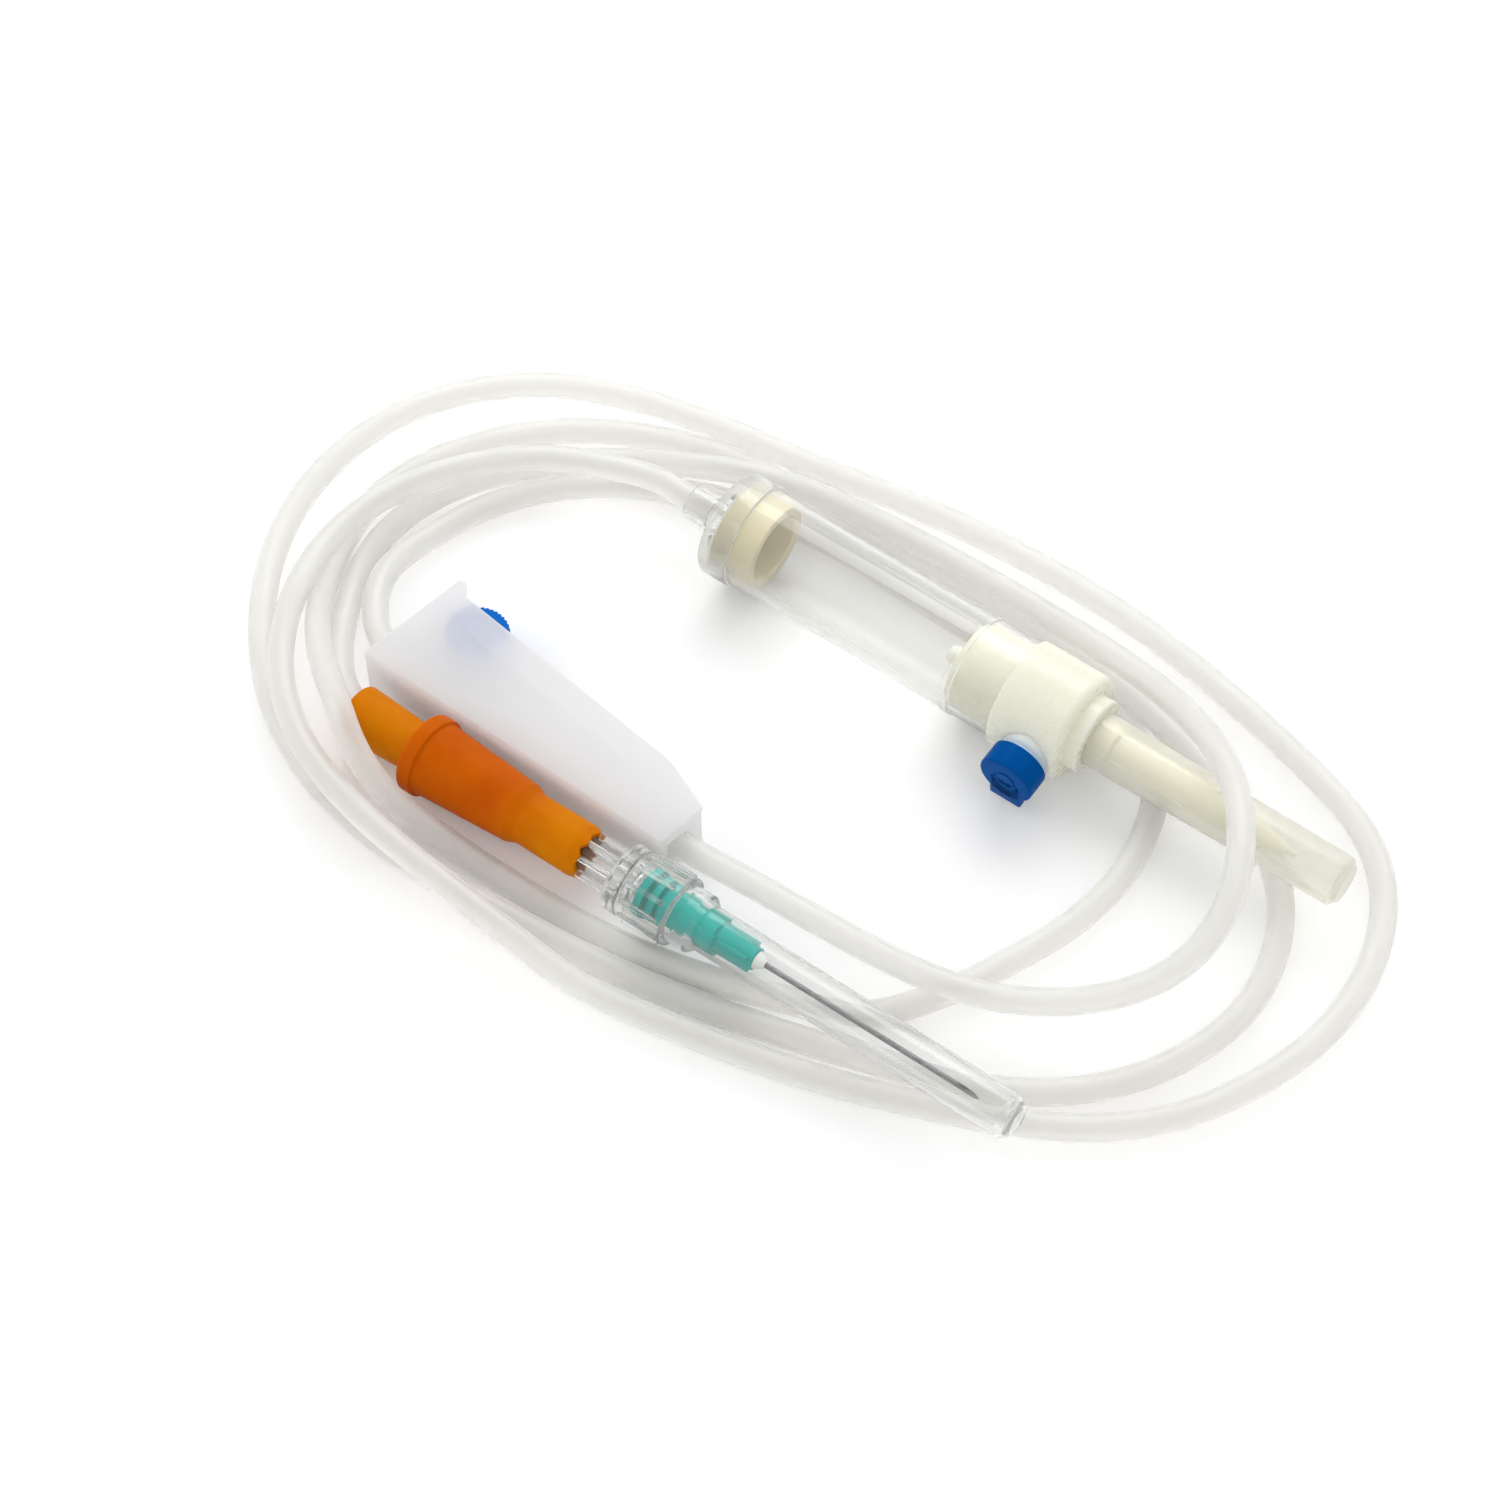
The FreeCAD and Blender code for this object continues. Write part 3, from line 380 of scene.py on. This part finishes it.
MEMBRANE = solid_plastic(
    "vent_membrane", (0.92, 0.92, 0.92), (0.97, 0.97, 0.97), gloss=(0.7, 0.9), grain=6000,
)
BLUE_CAP = solid_plastic(
    "cap_blue", (0.0, 0.065, 0.28), (0.0, 0.08, 0.33), gloss=(0.18, 0.28),
    Specular_IOR_Level=0.02,
)
ROLLER_BLUE = solid_plastic(
    "roller_blue", (0.0, 0.13, 0.52), (0.0, 0.16, 0.60), gloss=(0.34, 0.46),
    Specular_IOR_Level=0.05,
)
TEAL = solid_plastic(
    "hub_teal", (0.0, 0.38, 0.33), (0.0, 0.45, 0.39), gloss=(0.18, 0.28), Specular_IOR_Level=0.1,
)
GLUE = solid_plastic("glue_white", (0.88, 0.88, 0.86), (0.95, 0.95, 0.93), gloss=(0.3, 0.4))
STEEL = solid_plastic(
    "needle_steel", (0.16, 0.16, 0.17), (0.24, 0.24, 0.25), gloss=(0.18, 0.3), patch=900,
    Metallic=1.0,
)


def latex():
    """Amber latex, yellower where it is thin over the tube and the connector."""
    look = Look(
        "latex_amber", Specular_IOR_Level=0.04, Subsurface_Weight=0.2, Subsurface_Scale=0.001,
        Subsurface_Radius=(1.0, 0.4, 0.08),
    )
    thick = look.mottled((0.54, 0.088, 0.0), (0.61, 0.118, 0.0), LATEX_PATCH)
    thin = look.mottled((0.62, 0.172, 0.0), (0.69, 0.215, 0.0), LATEX_PATCH)
    sleeve = look.station(LINE, -0.8, -2.2)
    neck = look.station(LINE, 15.0, 25.0)
    look.mixed_colour(look.most(sleeve, neck), thick, thin)
    look.rough(0.4, 0.55)
    look.bump(look.noise(LATEX_GRAIN), 0.00005)
    return look.finish(look.shader.outputs[0])


def ivory_with_painted_blue_glow():
    """The ivory of the vent port, with a painted blue glow next to its cap: painted light for the
    blue that the cap casts and bleeds onto the port.
    """
    look = Look("ivory_port_painted_glow", **IVORY_DEPTH)
    plain = look.mottled(*IVORY_PAIR, SOLID_PATCH)
    # Painted light: a light blue mixed in along the port axis next to the cap stands in for the
    # cap's blue glow, and it stays when the cap is pulled off.
    look.mixed_colour(look.station(PORT_AXIS, 7.6, 10.6), plain, (0.36, 0.60, 0.90))
    look.rough(*IVORY_GLOSS)
    return look.finish(look.shader.outputs[0])


LATEX = latex()
# The vent port's ivory carries a painted blue glow next to its cap.
PORT_PAINTED_BLUE_GLOW = ivory_with_painted_blue_glow()


def dress(thing, material):
    thing.data.materials.clear()
    thing.data.materials.append(material)


dress(tube, TUBE_PVC)

# Turned pieces. Their outlines are (station, radius) or (station, radius, fillet) along local X,
# in millimetres.
TURNS = 96
LATEX_TURNS = 144
PIECE_SHARP = math.radians(35)
FILLET_STEPS = 5
FILLET_SHARE = 0.48
STRAIGHT = math.radians(178)
BEVEL_STEPS = 3
ON_AXIS = 1e-6


def filleted(corners):
    """Closed (station, radius) loop whose corners with a third number are rounded."""
    points = []
    for i, corner in enumerate(corners):
        here = Vector(corner[:2])
        fillet = corner[2] if len(corner) > 2 else 0
        before = Vector(corners[i - 1][:2]) - here
        after = Vector(corners[(i + 1) % len(corners)][:2]) - here
        turn = before.angle(after) if before.length and after.length else math.pi
        if not fillet or turn > STRAIGHT:
            points.append(here)
            continue
        longest = FILLET_SHARE * min(before.length, after.length)
        reach = min(fillet / math.tan(turn / 2), longest)
        first = here + before.normalized() * reach
        last = here + after.normalized() * reach
        for step in range(FILLET_STEPS + 1):
            share = step / FILLET_STEPS
            inner = first.lerp(here, share)
            outer = here.lerp(last, share)
            points.append(inner.lerp(outer, share))
    return points


def revolve(bm, points, turns, shift):
    """Adds the solid turned about local X."""
    rings = []
    for station, radius in points:
        if radius < ON_AXIS:
            rings.append([bm.verts.new((station, 0, 0))])
            continue
        ring = []
        for i in range(turns):
            angle = 2 * math.pi * i / turns
            s, r = shift(station, radius, angle) if shift else (station, radius)
            ring.append(bm.verts.new((s, r * math.cos(angle), r * math.sin(angle))))
        rings.append(ring)
    for first, second in zip(rings, rings[1:] + rings[:1]):
        if len(first) == 1 and len(second) == 1:
            continue
        for i in range(turns):
            a, b = first[i % len(first)], first[(i + 1) % len(first)]
            c, d = second[(i + 1) % len(second)], second[i % len(second)]
            corners = [a, b, c, d]
            loop = [v for k, v in enumerate(corners) if v is not corners[k - 1]]
            bm.faces.new(loop)


def turned(
    name, corners, place, material, body, node=None, turns=TURNS, shift=None, extra=None
):
    """Turned piece that rides on a body and replaces a CAD node.

    shift(station, radius, angle) moves points, and extra(bm) adds what isn't round.
    """
    bm = bmesh.new()
    revolve(bm, filleted(corners), turns, shift)
    if extra:
        extra(bm)
    bmesh.ops.recalc_face_normals(bm, faces=bm.faces)
    mesh = bpy.data.meshes.new(name)
    bm.to_mesh(mesh)
    bm.free()
    mesh.transform(Matrix.Diagonal((MM, MM, MM, 1)))
    mesh.transform(place)
    mesh.shade_smooth()
    mesh.set_sharp_from_angle(angle=PIECE_SHARP)
    piece = bpy.data.objects.new(name, mesh)
    scene.collection.objects.link(piece)
    dress(piece, material)
    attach(piece, body)
    if node:
        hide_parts(node)


def block(bm, low, high, angle, bevel):
    """Adds a box with rounded edges, turned about local X by an angle in degrees."""
    made = bmesh.ops.create_cube(bm, size=1.0)["verts"]
    size = [h - l for l, h in zip(low, high)]
    centre = Vector([(h + l) / 2 for l, h in zip(low, high)])
    bmesh.ops.scale(bm, vec=size, verts=made)
    bmesh.ops.translate(bm, vec=centre, verts=made)
    edges = {e for v in made for e in v.link_edges}
    rounded = bmesh.ops.bevel(
        bm, geom=list(edges), offset=bevel, segments=BEVEL_STEPS, profile=0.5, affect="EDGES",
    )
    verts = {v for f in rounded["faces"] for v in f.verts}
    verts |= {v for v in made if v.is_valid}
    turn = Matrix.Rotation(math.radians(angle), 4, "X")
    bmesh.ops.transform(bm, matrix=turn, verts=list(verts))


def ribs(bm, count, low, high, bevel, start=0):
    """Adds boxes spread evenly about local X, the first one at the start angle."""
    for i in range(count):
        block(bm, low, high, 360 / count * i + start, bevel)


# Outlet cap, barrel and filter ring
turned("outlet_cap_shell", [
    (-7.0, 2.17, 0.1), (-7.0, 2.95, 0.25), (-0.7, 3.05, 0.5), (0.0, 4.0, 0.4), (0.0, 8.7, 0.7),
    (5.2, 8.7, 0.3), (5.2, 8.05, 0.1), (1.7, 8.05), (1.7, 1.5), (-2.9, 1.5), (-2.9, 2.17),
], CHAMBER, CLEAR, "set", "outlet_cap")
turned("barrel_shell", [
    (1.75, 7.2), (1.75, 8.0, 0.15), (44.35, 8.0, 0.05), (44.45, 8.2, 0.05), (45.95, 8.2, 0.05),
    (46.05, 8.0, 0.05), (53.4, 8.0, 0.15), (53.4, 7.2),
], CHAMBER, CLEAR, "set", "chamber_barrel")
turned("filter_ring_moulded", [
    (1.75, 6.3), (1.75, 7.15, 0.2), (9.0, 7.15, 0.3), (9.0, 5.5, 0.5), (2.21, 5.5), (2.21, 6.3),
], CHAMBER, CREAM, "set", "filter_ring")

# Spike body with its vent port, and the spike cap
turned("spike_body_moulded", [
    (44.6, 0), (44.6, 6.45, 0.3), (46.0, 7.15, 0.3), (53.45, 7.15), (53.45, 8.7, 0.35),
    (65.0, 8.7, 1.3), (65.0, 6.0, 0.3), (67.4, 6.0, 0.4), (67.4, 3.5, 0.2), (71.0, 3.5, 0.4),
    (71.2, 2.75, 0.2), (92.0, 2.65, 3.0), (102.0, 0.35, 0.2), (102.0, 0),
], CHAMBER, IVORY, "set", "spike_body")
turned("vent_port", [
    (6.5, 0), (6.5, 4.6), (8.6, 4.0, 1.0), (9.2, 3.4, 0.5), (9.4, 3.95, 0.2), (12.6, 3.95, 0.2),
    (12.6, 3.5, 0.1), (10.4, 3.5), (10.4, 1.2), (9.0, 1.2), (9.0, 0),
], PORT_AXIS, PORT_PAINTED_BLUE_GLOW, "set")
turned("spike_cap_shell", [
    (67.45, 3.6, 0.1), (67.45, 4.35, 0.25), (109.3, 3.95, 1.0), (110.3, 2.9, 0.5), (110.3, 0),
    (109.1, 0), (109.1, 2.9, 0.4), (72.0, 3.5),
], CHAMBER, SPIKE_MILKY, "spike_cap", "spike_cap")


# Vent cap with its thumb tab
def thumb_tab(bm):
    block(bm, (12.4, -2.7, -5.6), (13.7, 2.7, 0.0), angle=-90, bevel=0.25)


turned("vent_cap_moulded", [
    (9.7, 4.05, 0.1), (9.7, 4.5, 0.15), (13.7, 4.5, 0.45), (13.7, 2.0), (13.55, 2.0), (13.55, 1.5),
    (13.7, 1.5), (13.7, 0), (12.7, 0), (12.7, 4.05, 0.1),
], PORT_AXIS, BLUE_CAP, "vent_cap", "vent_cap", extra=thumb_tab)

# Latex bulb
NECK_END_FROM = 29.5
NECK_TEETH = 8
TOOTH_HEIGHT = 0.55
OUT_OF_ROUND = 0.006


def drawn_in(station, radius, angle):
    """The neck's end is drawn in between the connector's fins, and the bulb isn't quite round."""
    if station > NECK_END_FROM:
        tooth = 0.5 + 0.5 * math.cos(NECK_TEETH * angle + 0.4 * math.sin(3 * angle))
        station += TOOTH_HEIGHT * (tooth - 0.6) + 0.12 * math.sin(5 * angle + 1)
    return station, radius * (1 + OUT_OF_ROUND * math.sin(2 * angle + 0.2 * station))


turned("latex_bulb_dipped", [
    (-13.7, 3.2), (-13.7, 4.4, 0.4), (-1.25, 3.75, 0.4), (-1.25, 6.3, 0.6), (1.25, 6.3, 0.6),
    (1.35, 5.75, 0.3), (17.6, 4.8, 1.4), (19.4, 4.1, 1.2), (28.8, 4.15, 1.5), (30.5, 3.75, 0.3),
    (30.5, 3.05, 0.2), (23.9, 3.05), (23.9, 2.3), (19.2, 2.3), (17.6, 3.7), (1.25, 4.65),
    (-1.25, 1.5), (-6.7, 1.5), (-6.7, 2.17), (-10.5, 2.17),
], LINE, LATEX, "set", "latex_bulb", turns=LATEX_TURNS, shift=drawn_in)


# Luer connector with its fins, and the lock collar with its ribs
def connector_fins(bm):
    ribs(bm, 8, (30.7, -0.3, 2.6), (36.7, 0.3, 3.95), bevel=0.1)


def collar_ribs(bm):
    ribs(bm, 12, (39.9, -0.35, 5.2), (46.4, 0.35, 5.72), bevel=0.12)


turned("luer_connector_clear", [
    (24.0, 1.1), (24.0, 2.6, 0.2), (24.6, 3.0, 0.3), (36.6, 3.0, 0.2), (36.6, 5.4, 0.35),
    (38.9, 5.4, 0.35), (38.9, 2.35, 0.1), (40.2, 2.35), (40.2, 2.2), (47.0, 1.996, 0.1),
    (47.0, 1.1),
], LINE, CLEAR_HARD, "set", "luer_connector", extra=connector_fins)
turned("lock_collar_clear", [
    (39.0, 2.42), (39.0, 5.2, 0.5), (47.2, 5.5, 0.25), (47.2, 4.15, 0.15), (40.1, 4.15, 0.2),
    (40.1, 2.42),
], LINE, CLEAR_HARD, "lock_collar", "luer_lock_collar", extra=collar_ribs)


# Needle hub with its fins, wide and then narrow, and the needle cap
def hub_fins(bm):
    ribs(bm, 4, (47.8, -0.6, 2.2), (54.6, 0.6, 3.05), bevel=0.12, start=45)
    ribs(bm, 4, (54.3, -0.3, 1.0), (60.2, 0.3, 2.45), bevel=0.12, start=45)


turned("needle_hub_teal", [
    (41.3, 2.2), (41.3, 3.9, 0.15), (42.6, 3.9, 0.15), (42.6, 2.75, 0.1), (43.4, 2.75, 0.1),
    (43.4, 3.6, 0.12), (44.5, 3.6, 0.12), (44.5, 2.75, 0.1), (45.3, 2.75, 0.1),
    (45.3, 3.6, 0.12), (46.4, 3.6, 0.12), (46.4, 2.7, 0.3), (54.2, 2.7, 0.15), (54.5, 2.2, 0.15),
    (60.8, 1.75, 0.2), (60.8, 0.42), (48.4, 0.42), (48.4, 1.98),
], LINE, TEAL, "hub", "needle_hub", extra=hub_fins)
turned("needle_cap_shell", [
    (47.3, 3.65, 0.1), (47.3, 4.6, 0.25), (50.6, 4.6, 0.3), (51.8, 3.6, 0.6), (104.3, 3.4, 0.8),
    (105.5, 2.2, 0.4), (105.5, 0), (104.5, 0), (104.5, 2.5, 0.5), (103.5, 2.95, 0.5),
    (48.3, 3.15, 0.2),
], LINE, NEEDLE_MILKY, "needle_cap", "needle_cap")

# CAD nodes that keep their shape
for node, material in (
    ("filter_mesh", MESH), ("drip_former", IVORY), ("vent_filter", MEMBRANE),
    ("clamp_body", CLAMP_WHITE), ("clamp_roller", ROLLER_BLUE), ("needle_bond", GLUE),
    ("needle", STEEL),
):
    dress(nodes[node], material)

# Floor, light and world
FLOOR_HALF = 2.0
FLOOR_DROP = 0.00005
FLOOR_LIFT = 0.1
LIGHT_FROM_WORLD = 0.78
CLEAR_LAYERS = 24


def stage_floor():
    """Floor just under the set, lifted to white for the eye and in glossy and clear pieces."""
    bm = bmesh.new()
    bmesh.ops.create_grid(bm, x_segments=2, y_segments=2, size=FLOOR_HALF)
    mesh = bpy.data.meshes.new("floor")
    bm.to_mesh(mesh)
    bm.free()
    floor = bpy.data.objects.new("floor", mesh)
    scene.collection.objects.link(floor)
    floor.location.z = -FLOOR_DROP
    look = Look("floor_white", Roughness=0.7)
    look.mottled((0.93, 0.93, 0.935), (0.935, 0.935, 0.94), FLOOR_PATCH)
    path = look.add("ShaderNodeLightPath").outputs
    through = look.most(path["Is Glossy Ray"], path["Is Transmission Ray"])
    seen = look.most(path["Is Camera Ray"], through)
    glow = look.add("ShaderNodeEmission")
    look.link(look.times(seen, FLOOR_LIFT), glow.inputs["Strength"])
    both = look.add("ShaderNodeAddShader")
    look.link(look.shader.outputs[0], both.inputs[0])
    look.link(glow.outputs[0], both.inputs[1])
    dress(floor, look.finish(both.outputs[0]))


def softbox(name, place, size, power):
    """White lamp that looks at the middle of the set."""
    lamp = bpy.data.lights.new(name, "AREA")
    lamp.shape = "RECTANGLE"
    lamp.size, lamp.size_y = size
    lamp.energy = power
    holder = bpy.data.objects.new(name, lamp)
    scene.collection.objects.link(holder)
    holder.location = place
    holder.rotation_euler = (-Vector(place)).to_track_quat("-Z", "Y").to_euler()


stage_floor()
softbox("key", place=(0.15, 0.75, 0.75), size=(0.9, 0.5), power=3.8)
softbox("side", place=(-0.8, 0.1, 0.5), size=(0.3, 0.6), power=0.8)

# The world lights the set evenly, and is white to the eye and through clear pieces
world = bpy.data.worlds.new("world")
scene.world = world
world.use_nodes = True
nt = world.node_tree
path = nt.nodes.new("ShaderNodeLightPath")
seen = nt.nodes.new("ShaderNodeMath")
seen.operation = "MAXIMUM"
nt.links.new(path.outputs["Is Camera Ray"], seen.inputs[0])
nt.links.new(path.outputs["Is Transmission Ray"], seen.inputs[1])
level = nt.nodes.new("ShaderNodeMapRange")
level.inputs["To Min"].default_value = LIGHT_FROM_WORLD
level.inputs["To Max"].default_value = 1.0
nt.links.new(seen.outputs[0], level.inputs["Value"])
back = nt.nodes["Background"]
nt.links.new(level.outputs["Result"], back.inputs["Strength"])
back.inputs["Color"].default_value = (1, 1, 1, 1)

scene.view_settings.view_transform = "Standard"
scene.cycles.transparent_max_bounces = CLEAR_LAYERS
